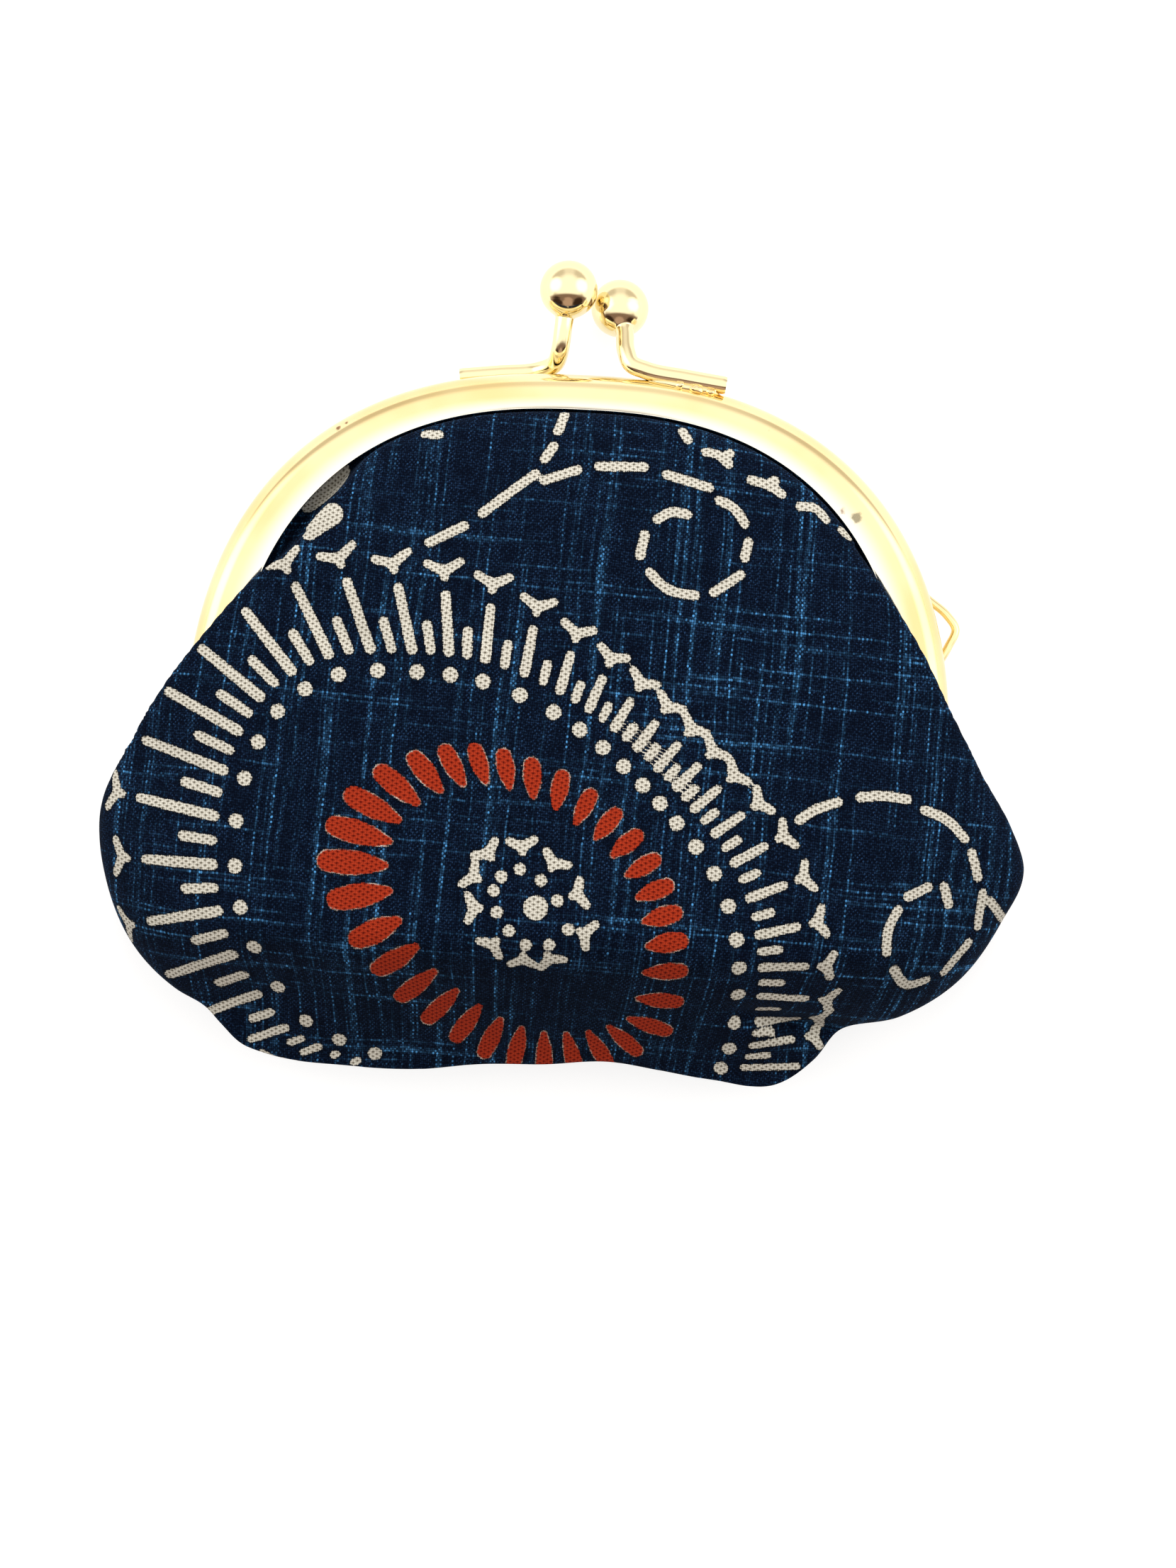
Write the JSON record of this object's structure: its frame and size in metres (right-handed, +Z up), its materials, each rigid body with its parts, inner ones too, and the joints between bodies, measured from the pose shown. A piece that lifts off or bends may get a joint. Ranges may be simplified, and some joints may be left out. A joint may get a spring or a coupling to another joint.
{
  "type": "clasp coin purse",
  "caption": "Small cloth coin purse lying on its back, with a hinged arched metal frame closed by a ball kiss-lock and a printed, softly puffed two-panel bag.",
  "frame": {"origin": "on the resting surface, under the middle of the purse's box", "axes": "+X to the purse's right seen from the front, +Y towards the clasp balls, +Z up out of the front of the bag"},
  "size_m": [0.0932, 0.0829, 0.0184],
  "materials": {
    "gold_plate": "polished pale gold plating",
    "indigo_cotton": "matt slub plain weave with a light and orange print"
  },
  "bodies": {
    "root": {"front_frame": "gold_plate", "back_frame": "gold_plate", "hinge_rivet_left": "gold_plate", "hinge_rivet_right": "gold_plate", "front_panel": "indigo_cotton", "back_panel": "indigo_cotton"}
  },
  "joints": []
}
